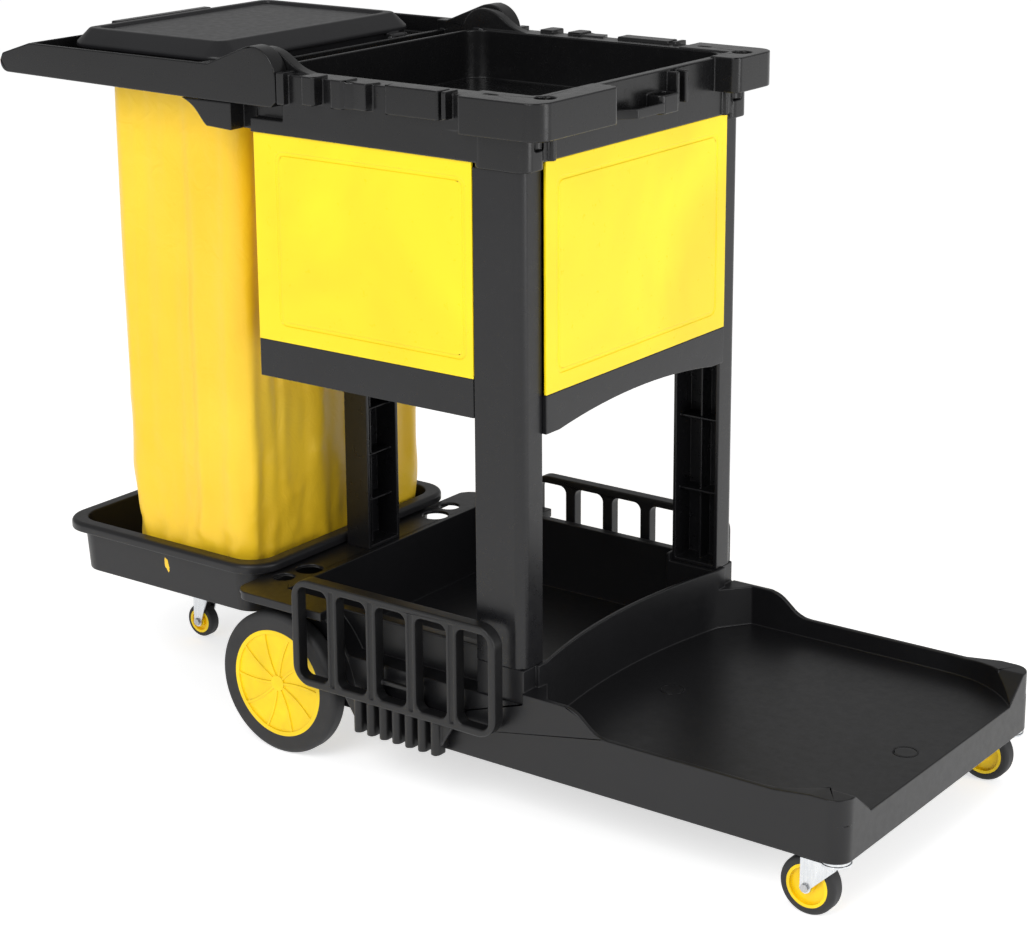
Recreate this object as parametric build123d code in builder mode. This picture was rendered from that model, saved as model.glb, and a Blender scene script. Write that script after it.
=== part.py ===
from build123d import *
from math import atan2, cos, degrees, radians, sin, sqrt
import os

os.makedirs("parts", exist_ok=True)

# Housekeeping cart. X runs towards the platform, Y to the cart's left, Z up.
# The origin is on the floor, under the middle of the overall length and width.

# ---- overall sizes -------------------------------------------------------
front_reach = 866.0            # wheel axle to the front edge of the platform
rear_reach = 462.0             # wheel axle to the rear edge of the push bar
base_width = 504.0             # outside of the two base skirts
column_height = 631.0          # corner column, foot to tray socket
wall = 5.0                     # moulded wall of the large parts
thin_wall = 3.5                # moulded wall of ribs and small parts
running_gap = 0.5              # between pieces that move past each other
seat_gap = 0.3                 # between a soft or loose piece and its seat
shaft_gap = 0.08               # radial clearance of a turning shaft

half_width = base_width / 2
axle_x = (rear_reach - front_reach) / 2
front_x = axle_x + front_reach
tray_rear_x = axle_x - rear_reach + 18.0

# ---- wheels --------------------------------------------------------------
wheel_diameter = 200.0
wheel_width = 28.0
rim_diameter = 150.0
axle_diameter = 12.0
axle_z = wheel_diameter / 2
wheel_outer_y = half_width
wheel_inner_y = wheel_outer_y - wheel_width

# ---- base ----------------------------------------------------------------
skirt_bottom_z = 79.0
floor_z = 128.0                # top of the platform floor
platform_rim_z = 154.0
platform_corner_z = 160.0
platform_high_rim_z = 184.0    # rim beside the columns
ledge_z = 170.0                # top of the skirt beside the bin
foot_top_z = 213.0             # where the columns stand
deck_z = 224.0
bin_floor_z = 122.0
rim_width = 7.0
bin_outer_y = half_width - 30.0
bin_inner_y = bin_outer_y - wall
bin_rear_x = axle_x - 7.0
deck_rear_x = axle_x - 68.0
deck_outer_y = half_width + 10.0
deck_thickness = 12.0
arch_radius = deck_z - deck_thickness - axle_z + 28.0    # the deck trims its crown
beam_half_width = 60.0
beam_bottom_z = 105.0
beam_rear_x = axle_x - 430.0

# ---- columns -------------------------------------------------------------
column_rear_x = axle_x + 336.0
column_depth = 73.0
column_width = 42.0
column_front_x = column_rear_x + column_depth
column_outer_y = half_width - 4.0
column_inner_y = column_outer_y - column_width
column_top_z = foot_top_z + column_height
column_wall = 5.0
column_corner = 14.0

post_rear_x = axle_x - 55.0
post_depth = 40.0
post_half_width = 34.0
post_front_x = post_rear_x + post_depth

# ---- cabinet -------------------------------------------------------------
cabinet_rear_x = axle_x - 13.0
panel_thickness = 4.0
panel_outer_y = column_outer_y + 1.0
front_panel_x = column_front_x + 6.0
shelf_top_z = column_top_z - 264.0
shelf_depth = 50.0
shelf_bottom_z = shelf_top_z - shelf_depth
panel_top_z = column_top_z + 8.0
shelf_floor_z = shelf_top_z - 18.0
front_panel_bottom_z = shelf_top_z - 18.0

# ---- top tray ------------------------------------------------------------
tray_bottom_z = column_top_z
tray_rim_z = column_top_z + 86.0
tray_floor_z = tray_rim_z - 68.0
tray_rear_wall_x = axle_x - 15.0
tray_inner_y = half_width - 36.0
tray_front_x = column_front_x + 7.0
rail_outer_y = half_width + 18.0
rail_bottom_z = tray_rim_z - 32.0
rail_top_z = tray_rim_z + 4.0
block_front_x = column_front_x + 42.0
block_bottom_z = tray_rim_z - 44.0

# ---- bag frame, lid and bag ---------------------------------------------
arm_outer_y = half_width + 10.0
arm_inner_y = half_width - 15.0
pivot_x = axle_x
pivot_z = tray_rim_z - 5.0
hump_radius = 38.0
arm_top_z = tray_rim_z + 5.0
arm_bottom_z = tray_rim_z - 42.0
pivot_diameter = 12.0
frame_rear_x = axle_x - rear_reach
collar_z = tray_rim_z - 25.0       # underside of the collar plate
collar_thickness = 6.0
bag_front_x = axle_x - 90.0
bag_rear_x = axle_x - 334.0
bag_half_width = 193.0
bag_corner = 24.0
bag_wall = 2.0
lid_front_x = axle_x - 105.0
lid_length = 288.0
lid_half_width = 203.0
lid_base_z = tray_rim_z - 5.0
lid_top_z = tray_rim_z + 20.0
lid_pin_diameter = 5.0
lid_axis_x = lid_front_x + 9.0
lid_axis_z = lid_base_z - 5.0

# ---- bag tray ------------------------------------------------------------
bag_tray_front_x = axle_x - 60.0
bag_tray_half_width = 220.0
bag_tray_rim_z = 240.0
bag_tray_bottom_z = 163.0
bag_tray_lip = 16.0

# ---- side racks ----------------------------------------------------------
rack_rear_x = axle_x + 54.0
rack_length = 333.0
rack_top_z = 273.0
rack_bottom_z = 124.0
rack_outer_y = half_width + 28.0
rack_depth = 18.0
rack_rail = 11.0
comb_rear_x = axle_x + 152.0
comb_length = 141.0
comb_bottom_z = 78.0

# ---- castors -------------------------------------------------------------
front_castor_x = front_x - 20.0
front_castor_y = half_width - 22.0
front_castor_wheel = 75.0
front_castor_width = 22.0
front_castor_trail = 32.0
rear_castor_x = axle_x - 354.0
rear_castor_wheel = 50.0
rear_castor_width = 18.0
rear_castor_trail = 20.0
rear_castor_lift = 4.0         # the anti-tip castor rides this far off the floor
castor_bolt = 6.0
castor_pin = 8.0


def mid(a, b):
    """Halfway between two values."""
    return (a + b) / 2


def slab(xs, ys, zs, mode=Mode.ADD):
    """A straight-sided block between two x, two y and two z values."""
    with Locations((mid(*xs), mid(*ys), mid(*zs))):
        Box(xs[1] - xs[0], abs(ys[1] - ys[0]), zs[1] - zs[0], mode=mode)


def keep(builder, name):
    """Labels a finished piece and writes it to its own file."""
    builder.part.label = name
    export_step(builder.part, f"parts/{name}.step")


# ---- moulded base: platform, bin, deck, wheel arches and bag beam --------
bin_wall_x = axle_x + 390.0        # middle of the bowed bin front wall
bin_wall_end_x = column_front_x + 5.0
land_start_x = front_x - 128.0
land_end_y = half_width - 67.0
wall_top_x = column_front_x + 61.0
wall_foot_x = column_front_x + 128.0
inner_y = half_width - rim_width
arch_bottom_x = axle_x + sqrt(arch_radius**2 - (axle_z - skirt_bottom_z) ** 2)
arch_ledge_x = axle_x + sqrt(arch_radius**2 - (ledge_z - axle_z) ** 2)
arch_crown_z = deck_z - deck_thickness
arch_crown_x = axle_x + sqrt(arch_radius**2 - (arch_crown_z - axle_z) ** 2)
foot_inner_y = column_inner_y - 2.0

with BuildPart() as base:
    # Skirt and platform, as one side profile across the full width.
    with BuildSketch(Plane.XZ):
        with BuildLine():
            Line((arch_bottom_x, skirt_bottom_z), (front_x, skirt_bottom_z))
            Line((front_x, skirt_bottom_z), (front_x, platform_corner_z))
            Line((front_x, platform_corner_z), (front_x - 45, platform_corner_z))
            Line((front_x - 45, platform_corner_z), (front_x - 95, platform_rim_z))
            Line((front_x - 95, platform_rim_z), (wall_foot_x, platform_rim_z))
            Spline(
                (wall_foot_x, platform_rim_z),
                (wall_top_x, platform_high_rim_z),
                tangents=((-1, 0), (-1, 0)),
            )
            Line((wall_top_x, platform_high_rim_z), (column_front_x, platform_high_rim_z))
            Line((column_front_x, platform_high_rim_z), (column_front_x, ledge_z))
            Line((column_front_x, ledge_z), (arch_ledge_x, ledge_z))
            ThreePointArc(
                (arch_ledge_x, ledge_z), (axle_x + arch_radius, axle_z), (arch_bottom_x, skirt_bottom_z)
            )
        make_face()
    extrude(amount=half_width, both=True)
    fillet(base.edges().filter_by(Axis.Z).group_by(Axis.X)[-1], radius=24)

    # Bin block and the column feet.
    slab((bin_rear_x - wall, column_rear_x), (-bin_outer_y, bin_outer_y), (skirt_bottom_z, deck_z))
    slab((column_rear_x, bin_wall_end_x), (-bin_outer_y, bin_outer_y), (ledge_z - 1, foot_top_z))
    for side in (-1, 1):
        slab(
            (column_rear_x, column_front_x),
            (side * foot_inner_y, side * column_outer_y),
            (ledge_z - 1, foot_top_z),
        )
        # Deck over the wheel, and the front of the wheel arch.
        slab(
            (deck_rear_x, arch_crown_x + wall),
            (side * (bin_outer_y - 1), side * deck_outer_y),
            (arch_crown_z, deck_z),
        )
    slab((deck_rear_x, bin_rear_x), (-bin_outer_y, bin_outer_y), (arch_crown_z, deck_z))
    fillet(
        base.edges().filter_by(Axis.Z).filter_by_position(Axis.X, deck_rear_x - 1, deck_rear_x + 1),
        radius=26,
    )
    for side in (-1, 1):
        with BuildSketch(Plane.XZ.offset(-side * bin_outer_y)):
            with Locations((axle_x, axle_z)):
                Circle(arch_radius + wall)
                Circle(arch_radius, mode=Mode.SUBTRACT)
            with Locations((axle_x + arch_radius, mid(ledge_z - 4, deck_z - 2))):
                Rectangle(
                    2 * (axle_x + arch_radius - arch_crown_x + 2),
                    deck_z - 2 - (ledge_z - 4),
                    mode=Mode.INTERSECT,
                )
        extrude(amount=-side * (half_width - bin_outer_y))
        # Outward lip along the bin's rim.
        slab(
            (arch_crown_x, column_rear_x),
            (side * (bin_outer_y - 1), side * (bin_outer_y + 9)),
            (deck_z - thin_wall, deck_z),
        )

    # Beam that carries the bag tray.
    slab(
        (beam_rear_x, bin_rear_x),
        (-beam_half_width, beam_half_width),
        (beam_bottom_z, bag_tray_bottom_z - seat_gap),
    )
    slab(
        (deck_rear_x + 12, bin_rear_x),
        (-beam_half_width, beam_half_width),
        (beam_bottom_z, arch_crown_z + 1),
    )

    # Platform pocket, open at the front, with high corner lands.
    with BuildSketch(Plane.XY.offset(floor_z)):
        with BuildLine():
            ThreePointArc((bin_wall_end_x, -foot_inner_y), (bin_wall_x, 0), (bin_wall_end_x, foot_inner_y))
            Line((bin_wall_end_x, foot_inner_y), (bin_wall_end_x + 30, inner_y))
            Line((bin_wall_end_x + 30, inner_y), (land_start_x, inner_y))
            Bezier(
                (land_start_x, inner_y),
                (land_start_x + 85, inner_y),
                (front_x - 18, land_end_y + 18),
                (front_x + 1, land_end_y),
            )
            Line((front_x + 1, land_end_y), (front_x + 1, -land_end_y))
            Bezier(
                (front_x + 1, -land_end_y),
                (front_x - 18, -land_end_y - 18),
                (land_start_x + 85, -inner_y),
                (land_start_x, -inner_y),
            )
            Line((land_start_x, -inner_y), (bin_wall_end_x + 30, -inner_y))
            Line((bin_wall_end_x + 30, -inner_y), (bin_wall_end_x, -foot_inner_y))
        make_face()
    extrude(amount=foot_top_z, mode=Mode.SUBTRACT)
    # The lands slope down to the floor at the open front.
    for side in (-1, 1):
        with BuildSketch(Plane.YZ.offset(front_x - 34)):
            with BuildLine():
                Polyline(
                    (side * (land_end_y - 40), floor_z),
                    (side * (land_end_y - 1), floor_z),
                    (side * (land_end_y + 40), platform_corner_z + 1),
                    (side * (land_end_y - 40), platform_corner_z + 1),
                    close=True,
                )
            make_face()
        extrude(amount=36, mode=Mode.SUBTRACT)

    # Bin pocket with the bowed front wall, stepping in beside the feet.
    with BuildSketch(Plane.XY.offset(bin_floor_z)):
        with BuildLine():
            Polyline(
                (column_rear_x - wall, foot_inner_y - wall),
                (column_rear_x - wall, bin_inner_y),
                (bin_rear_x, bin_inner_y),
                (bin_rear_x, -bin_inner_y),
                (column_rear_x - wall, -bin_inner_y),
                (column_rear_x - wall, -foot_inner_y + wall),
                (bin_wall_end_x - wall - 1, -foot_inner_y + wall),
            )
            ThreePointArc(
                (bin_wall_end_x - wall - 1, -foot_inner_y + wall),
                (bin_wall_x - wall - 1, 0),
                (bin_wall_end_x - wall - 1, foot_inner_y - wall),
            )
            Line(
                (bin_wall_end_x - wall - 1, foot_inner_y - wall),
                (column_rear_x - wall, foot_inner_y - wall),
            )
        make_face()
    extrude(amount=deck_z, mode=Mode.SUBTRACT)

    # Hollow underside.
    slab(
        (bin_wall_x + 12, front_x - wall - 1),
        (-half_width + wall + 1, half_width - wall - 1),
        (skirt_bottom_z - 1, floor_z - wall),
        mode=Mode.SUBTRACT,
    )
    slab(
        (axle_x + arch_radius + wall, bin_wall_x + 12),
        (-half_width + wall + 1, half_width - wall - 1),
        (skirt_bottom_z - 1, bin_floor_z - wall),
        mode=Mode.SUBTRACT,
    )
    slab(
        (bin_rear_x, axle_x + arch_radius + wall),
        (-bin_inner_y, bin_inner_y),
        (skirt_bottom_z - 1, bin_floor_z - wall),
        mode=Mode.SUBTRACT,
    )
    for side in (-1, 1):
        # The skirt beside the bin is hollow up to its ledge.
        slab(
            (axle_x + arch_radius + wall, column_rear_x - wall),
            (side * (bin_outer_y + 1), side * (half_width - wall - 1)),
            (bin_floor_z - wall - 1, ledge_z - wall),
            mode=Mode.SUBTRACT,
        )
        # The deck is a thin plate with a turned-down edge.
        slab(
            (deck_rear_x + thin_wall, arch_crown_x - 2),
            (side * (bin_outer_y + 1), side * (deck_outer_y - thin_wall)),
            (arch_crown_z - 1, deck_z - wall),
            mode=Mode.SUBTRACT,
        )
    # Beam and rear deck cavities, left solid where the post stands.
    slab(
        (beam_rear_x + wall, deck_rear_x + 8),
        (-beam_half_width + wall, beam_half_width - wall),
        (beam_bottom_z - 1, bag_tray_bottom_z - seat_gap - wall),
        mode=Mode.SUBTRACT,
    )
    for side in (-1, 1):
        slab(
            (deck_rear_x + thin_wall, bin_rear_x - wall),
            (side * (beam_half_width + 1), side * (bin_outer_y - 2)),
            (arch_crown_z - 1, deck_z - wall),
            mode=Mode.SUBTRACT,
        )

    # Stiffening ribs under the platform.
    for rib in range(-2, 3):
        slab(
            (bin_wall_x + 10, front_x - wall),
            (rib * 76.0 - 1.5, rib * 76.0 + 1.5),
            (floor_z - wall - 22, floor_z - wall + 1),
        )
    for rib in range(1, 6):
        rib_x = bin_wall_x + 10 + rib * (front_x - bin_wall_x - 60) / 6
        slab(
            (rib_x - 1.5, rib_x + 1.5),
            (-half_width + wall, half_width - wall),
            (floor_z - wall - 22, floor_z - wall + 1),
        )
    # Castor bosses, with a blind hole for each castor's stem.
    with BuildSketch(Plane.XY.offset(skirt_bottom_z)):
        with Locations(*[(front_castor_x, side * front_castor_y) for side in (-1, 1)]):
            Circle(20)
    extrude(amount=floor_z - skirt_bottom_z - 1)
    with BuildSketch(Plane.XY.offset(beam_bottom_z)):
        with Locations((rear_castor_x, 0)):
            Circle(18)
    extrude(amount=bag_tray_bottom_z - beam_bottom_z - 2)
    with BuildSketch(Plane.XY.offset(skirt_bottom_z)):
        with Locations(*[(front_castor_x, side * front_castor_y) for side in (-1, 1)]):
            Circle(5)
    extrude(amount=32, mode=Mode.SUBTRACT)
    with BuildSketch(Plane.XY.offset(beam_bottom_z)):
        with Locations((rear_castor_x, 0)):
            Circle(5)
    extrude(amount=32, mode=Mode.SUBTRACT)

    # Axle bearers on both sides of the bin's underside, with the bore.
    for side in (-1, 1):
        slab(
            (axle_x - 22, axle_x + 22),
            (side * (bin_inner_y - 14), side * bin_outer_y),
            (skirt_bottom_z, bin_floor_z - 1),
        )
    with BuildSketch(Plane.XZ):
        with Locations((axle_x, axle_z)):
            Circle(axle_diameter / 2)
    extrude(amount=half_width, both=True, mode=Mode.SUBTRACT)

    # Two holes for bottles or handles on each side of the rear deck.
    hole_large = 38.0
    hole_small = 30.0
    with BuildSketch(Plane.XY.offset(arch_crown_z - 2)):
        with Locations(*[(axle_x - 34, side * (half_width - 111)) for side in (-1, 1)]):
            Circle(hole_large / 2)
        with Locations(*[(axle_x - 42, side * (half_width - 67)) for side in (-1, 1)]):
            Circle(hole_small / 2)
    extrude(amount=deck_thickness + 4, mode=Mode.SUBTRACT)
    # Two round ejector marks in the platform floor.
    with BuildSketch(Plane.XY.offset(floor_z - 0.6)):
        with Locations((axle_x + 481, -16), (axle_x + 822, -16)):
            Circle(16)
            Circle(14.8, mode=Mode.SUBTRACT)
    extrude(amount=2, mode=Mode.SUBTRACT)
keep(base, "base")


# ---- front corner columns ------------------------------------------------
def make_column(side):
    """A ribbed channel with a flange at the front and the rear, open inwards."""
    y_out = side * column_outer_y
    y_in = side * column_inner_y
    with BuildPart() as column:
        with BuildSketch(Plane.XY.offset(foot_top_z)):
            with Locations((mid(column_rear_x, column_front_x), mid(y_out, y_in))):
                Rectangle(column_depth, column_width)
        extrude(amount=column_height)
        corner = column.edges().filter_by(Axis.Z).group_by(Axis.X)[-1].sort_by(Axis.Y)
        fillet(corner[-1] if side > 0 else corner[0], radius=column_corner)
        slab(
            (column_rear_x + column_wall, column_front_x - column_wall),
            (y_in - side, y_out - side * column_wall),
            (foot_top_z + column_wall, column_top_z - column_wall),
            mode=Mode.SUBTRACT,
        )
        middle_x = mid(column_rear_x, column_front_x)
        slab(
            (middle_x - 1.5, middle_x + 1.5),
            (y_in + side * 14, y_out - side * (column_wall - 1)),
            (foot_top_z + 1, column_top_z - 1),
        )
        for rib in range(1, 6):
            rib_z = foot_top_z + rib * column_height / 6
            slab(
                (column_rear_x + 1, column_front_x - column_wall + 0.5),
                (y_in + side * 10, y_out - side * (column_wall - 1)),
                (rib_z - 1.5, rib_z + 1.5),
            )
    return column


for side, hand in ((-1, "right"), (1, "left")):
    keep(make_column(side), f"column_{hand}")

# ---- rear post -----------------------------------------------------------
post_top_z = shelf_floor_z - 4.0
with BuildPart() as rear_post:
    slab((post_rear_x, post_front_x), (-post_half_width, post_half_width), (deck_z, post_top_z))
    slab(
        (post_rear_x + column_wall, post_front_x + 1),
        (-post_half_width + column_wall, post_half_width - column_wall),
        (deck_z + column_wall, post_top_z - column_wall),
        mode=Mode.SUBTRACT,
    )
    slab((post_rear_x + 2, post_front_x - 12), (-13.0, -10.0), (deck_z + 1, post_top_z - 1))
    for rib in range(1, 5):
        rib_z = deck_z + rib * (post_top_z - deck_z) / 5
        slab(
            (post_rear_x + 2, post_front_x - 10),
            (-post_half_width + 1, post_half_width - 1),
            (rib_z - 1.5, rib_z + 1.5),
        )
keep(rear_post, "rear_post")

# ---- cabinet shelf -------------------------------------------------------
arch_rise = 14.0
side_wall_y = panel_outer_y
front_half = column_inner_y - running_gap
with BuildPart() as cabinet_shelf:
    # Between the columns, then the full-width part behind them.
    slab(
        (cabinet_rear_x, column_rear_x - running_gap),
        (-side_wall_y, side_wall_y),
        (shelf_bottom_z, shelf_top_z),
    )
    slab(
        (column_rear_x - 10, front_panel_x),
        (-front_half, front_half),
        (shelf_bottom_z - 18, shelf_floor_z),
    )
    slab(
        (cabinet_rear_x + wall, column_rear_x - running_gap - wall),
        (-side_wall_y + wall, side_wall_y - wall),
        (shelf_floor_z, shelf_top_z + 1),
        mode=Mode.SUBTRACT,
    )
    slab(
        (cabinet_rear_x + wall, column_rear_x - running_gap - wall),
        (-side_wall_y + wall, side_wall_y - wall),
        (shelf_bottom_z - 1, shelf_floor_z - 4),
        mode=Mode.SUBTRACT,
    )
    slab(
        (column_rear_x - 30, front_panel_x - wall),
        (-front_half + wall, front_half - wall),
        (shelf_bottom_z - 20, shelf_floor_z - 4),
        mode=Mode.SUBTRACT,
    )
    slab(
        (column_rear_x - 12, column_rear_x + 6),
        (-front_half + wall, front_half - wall),
        (shelf_floor_z, shelf_top_z + 1),
        mode=Mode.SUBTRACT,
    )
    # Shallow arch along the lower edge of the front.
    with BuildSketch(Plane.YZ.offset(front_panel_x - wall - 2)):
        with BuildLine():
            ThreePointArc(
                (-front_half + 22, shelf_bottom_z - 19),
                (0, shelf_bottom_z - 18 + arch_rise),
                (front_half - 22, shelf_bottom_z - 19),
            )
            Line((front_half - 22, shelf_bottom_z - 19), (-front_half + 22, shelf_bottom_z - 19))
        make_face()
    extrude(amount=wall + 4, mode=Mode.SUBTRACT)
    # Pad that rests on the rear post.
    slab(
        (cabinet_rear_x - 42, cabinet_rear_x + 2),
        (-post_half_width - 6, post_half_width + 6),
        (post_top_z, shelf_top_z),
    )
    slab(
        (cabinet_rear_x - 36, post_front_x + 4),
        (-post_half_width, post_half_width),
        (post_top_z - 1, post_top_z + 0.01),
        mode=Mode.SUBTRACT,
    )
keep(cabinet_shelf, "cabinet_shelf")

# ---- cabinet panels ------------------------------------------------------
groove = 1.2
groove_width = 5.0
panel_rear_x = cabinet_rear_x
panel_front_x = column_rear_x - running_gap


def make_side_panel(side):
    """A flat panel with an embossed rounded outline on its outer face."""
    y_out = side * panel_outer_y
    with BuildPart() as panel:
        slab(
            (panel_rear_x, panel_front_x),
            (y_out - side * panel_thickness, y_out),
            (shelf_top_z, panel_top_z),
        )
        with BuildSketch(Plane.XZ.offset(-y_out)):
            with Locations((mid(panel_rear_x + 36, panel_front_x - 10), mid(shelf_top_z, panel_top_z))):
                RectangleRounded(panel_front_x - panel_rear_x - 46, panel_top_z - shelf_top_z - 44, 12)
                RectangleRounded(
                    panel_front_x - panel_rear_x - 46 - 2 * groove_width,
                    panel_top_z - shelf_top_z - 44 - 2 * groove_width,
                    9,
                    mode=Mode.SUBTRACT,
                )
        extrude(amount=side * groove, mode=Mode.SUBTRACT)
    return panel


for side, hand in ((-1, "right"), (1, "left")):
    keep(make_side_panel(side), f"side_panel_{hand}")

with BuildPart() as front_panel:
    slab(
        (front_panel_x - panel_thickness, front_panel_x),
        (-front_half, front_half),
        (front_panel_bottom_z, panel_top_z),
    )
    with BuildSketch(Plane.YZ.offset(front_panel_x)):
        with Locations((0, mid(front_panel_bottom_z, panel_top_z))):
            RectangleRounded(2 * front_half - 44, panel_top_z - front_panel_bottom_z - 44, 12)
            RectangleRounded(
                2 * front_half - 44 - 2 * groove_width,
                panel_top_z - front_panel_bottom_z - 44 - 2 * groove_width,
                9,
                mode=Mode.SUBTRACT,
            )
    extrude(amount=-groove, mode=Mode.SUBTRACT)
keep(front_panel, "front_panel")

with BuildPart() as rear_panel:
    slab(
        (cabinet_rear_x + running_gap, cabinet_rear_x + panel_thickness),
        (-panel_outer_y + panel_thickness + running_gap, panel_outer_y - panel_thickness - running_gap),
        (shelf_top_z, panel_top_z),
    )
keep(rear_panel, "rear_panel")

# ---- top tray ------------------------------------------------------------
hump_plate_outer_y = arm_inner_y - running_gap
hump_plate_inner_y = tray_inner_y + 4.0
bracket_rear_x = pivot_x - 126.0
bracket_front_x = pivot_x - 39.0
arm_clear_x = pivot_x + hump_radius + 2.0
tooth_spans = ((86.0, 108.0), (133.0, 155.0))
holder_span = (216.0, 299.0)
peg_span = (305.0, 311.0)
block_rear_x = axle_x + 330.0
block_top_z = tray_rim_z + 2.0
socket_wrap = 10.0                     # how far the socket stands round the column in front
block_reach = {-1: 100.0, 1: 170.0}    # how far in along the front each corner block starts

with BuildPart() as top_tray:
    slab((tray_rear_wall_x, tray_front_x), (-half_width, half_width), (panel_top_z, tray_rim_z))
    fillet(top_tray.edges().filter_by(Axis.Z).group_by(Axis.X)[-1], radius=12)
    for side in (-1, 1):
        # Socket over each corner column.
        with BuildSketch(Plane.XY.offset(tray_bottom_z)):
            with Locations(
                (
                    mid(column_rear_x, column_front_x + socket_wrap),
                    side * mid(column_inner_y, half_width + 1),
                )
            ):
                RectangleRounded(
                    column_front_x + socket_wrap - column_rear_x,
                    half_width + 1 - column_inner_y,
                    16,
                )
            with Locations((tray_front_x, side * (column_inner_y - 10))):
                Circle(6)
        extrude(amount=block_bottom_z + 2 - tray_bottom_z)
        with BuildSketch(Plane.XY.offset(tray_bottom_z - 1)):
            with Locations((tray_front_x, side * (column_inner_y - 10))):
                Circle(8)
        extrude(amount=panel_top_z + 1 - tray_bottom_z, mode=Mode.SUBTRACT)
        # Hump plate that carries the bag frame's pivot.
        with BuildSketch(Plane.XZ.offset(-side * hump_plate_inner_y)):
            with BuildLine():
                Line((pivot_x - 34, panel_top_z), (pivot_x - 34, pivot_z))
                ThreePointArc(
                    (pivot_x - 34, pivot_z),
                    (pivot_x - 34 * sin(radians(45)), pivot_z + 34 * cos(radians(45))),
                    (pivot_x, pivot_z + 34),
                )
                Spline(
                    (pivot_x, pivot_z + 34),
                    (pivot_x + 52, pivot_z + 12),
                    (pivot_x + 88, tray_rim_z - 1),
                    tangents=((1, 0), (1, -0.1)),
                )
                Line((pivot_x + 88, tray_rim_z - 1), (pivot_x + 88, panel_top_z))
                Line((pivot_x + 88, panel_top_z), (pivot_x - 34, panel_top_z))
            make_face()
        extrude(amount=-side * (hump_plate_outer_y - hump_plate_inner_y))
        # Bracket under the arm, which is the arm's rest stop.
        with BuildSketch(Plane.XZ.offset(-side * (hump_plate_outer_y - 11))):
            with BuildLine():
                Line(
                    (bracket_front_x, arm_bottom_z - running_gap),
                    (bracket_rear_x, arm_bottom_z - running_gap),
                )
                Spline(
                    (bracket_rear_x, arm_bottom_z - running_gap),
                    (bracket_rear_x + 28, arm_bottom_z - 17),
                    (bracket_rear_x + 44, panel_top_z + 2),
                    tangents=((1, -0.25), (1, -0.7)),
                )
                Line((bracket_rear_x + 44, panel_top_z + 2), (bracket_front_x, panel_top_z))
                Line((bracket_front_x, panel_top_z), (bracket_front_x, arm_bottom_z - running_gap))
            make_face()
        extrude(amount=-side * (arm_outer_y - hump_plate_outer_y + 11))
        slab(
            (bracket_front_x - 30, tray_rear_wall_x + 10),
            (side * hump_plate_inner_y, side * hump_plate_outer_y),
            (panel_top_z, arm_bottom_z - running_gap),
        )
        # Tool rail: a fin beside the arm, two teeth, a flat holder and a peg.
        slab(
            (arm_clear_x, arm_clear_x + 12),
            (side * (half_width - 14), side * arm_outer_y),
            (rail_bottom_z - 5, rail_top_z),
        )
        for start, end in tooth_spans:
            slab(
                (axle_x + start, axle_x + end),
                (side * (half_width - 12), side * rail_outer_y),
                (rail_bottom_z, rail_top_z),
            )
        with BuildSketch(Plane.XY.offset(rail_bottom_z)):
            with BuildLine():
                Polyline(
                    (axle_x + tooth_spans[1][1] - 1, side * (half_width - 12)),
                    (axle_x + tooth_spans[1][1] - 1, side * (rail_outer_y - 4)),
                    (axle_x + tooth_spans[1][1] + 9, side * (rail_outer_y - 9)),
                    (axle_x + tooth_spans[1][1] + 30, side * (rail_outer_y - 7)),
                    (axle_x + tooth_spans[1][1] + 37, side * (half_width - 12)),
                    close=True,
                )
            make_face()
        extrude(amount=rail_top_z - rail_bottom_z - 2)
        slab(
            (axle_x + holder_span[0], axle_x + holder_span[1]),
            (side * (half_width - 12), side * (rail_outer_y - 5)),
            (rail_bottom_z, rail_top_z),
        )
        slab(
            (axle_x + peg_span[0], axle_x + peg_span[1]),
            (side * (half_width - 12), side * (rail_outer_y - 4)),
            (rail_bottom_z + 2, rail_top_z),
        )
        # Corner block wrapping round the front.
        slab(
            (block_rear_x, tray_front_x),
            (side * (tray_inner_y + 1), side * rail_outer_y),
            (block_bottom_z, block_top_z),
        )
        slab(
            (tray_front_x - 7, block_front_x),
            (side * block_reach[side], side * rail_outer_y),
            (block_bottom_z, block_top_z),
        )
    fillet(
        top_tray.edges()
        .filter_by(Axis.Z)
        .filter_by_position(Axis.X, block_front_x - 1, block_front_x + 1)
        .filter_by(lambda edge: abs(edge.center().Y) > rail_outer_y - 1),
        radius=26,
    )
    # Main pocket.
    with BuildSketch(Plane.XY.offset(tray_floor_z)):
        with Locations((mid(tray_rear_wall_x + wall, tray_front_x - 12), 0)):
            RectangleRounded(tray_front_x - 12 - tray_rear_wall_x - wall, 2 * tray_inner_y, 28)
    extrude(amount=80, mode=Mode.SUBTRACT)
    # Hollow below the floor and between the double side walls.
    slab(
        (tray_rear_wall_x + wall, tray_front_x - wall),
        (-half_width + wall, half_width - wall),
        (panel_top_z - 1, tray_floor_z - wall),
        mode=Mode.SUBTRACT,
    )
    for side in (-1, 1):
        slab(
            (pivot_x + 92, block_rear_x + 60),
            (side * (tray_inner_y + 4), side * (half_width - 4)),
            (panel_top_z - 1, tray_rim_z - 4),
            mode=Mode.SUBTRACT,
        )
        slab(
            (block_rear_x + 4, block_front_x - 30),
            (side * (half_width + 1), side * (rail_outer_y - 4)),
            (block_bottom_z - 1, block_top_z - 4),
            mode=Mode.SUBTRACT,
        )
        slab(
            (tray_front_x + 1, block_front_x - 4),
            (side * (block_reach[side] + 4), side * (rail_outer_y - 28)),
            (block_bottom_z - 1, block_top_z - 4),
            mode=Mode.SUBTRACT,
        )
        # Room for the arm and its hump.
        slab(
            (tray_rear_wall_x - 1, arm_clear_x),
            (side * (hump_plate_outer_y + 0.01), side * (half_width + 1)),
            (tray_rim_z - 60, tray_rim_z + 1),
            mode=Mode.SUBTRACT,
        )
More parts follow.
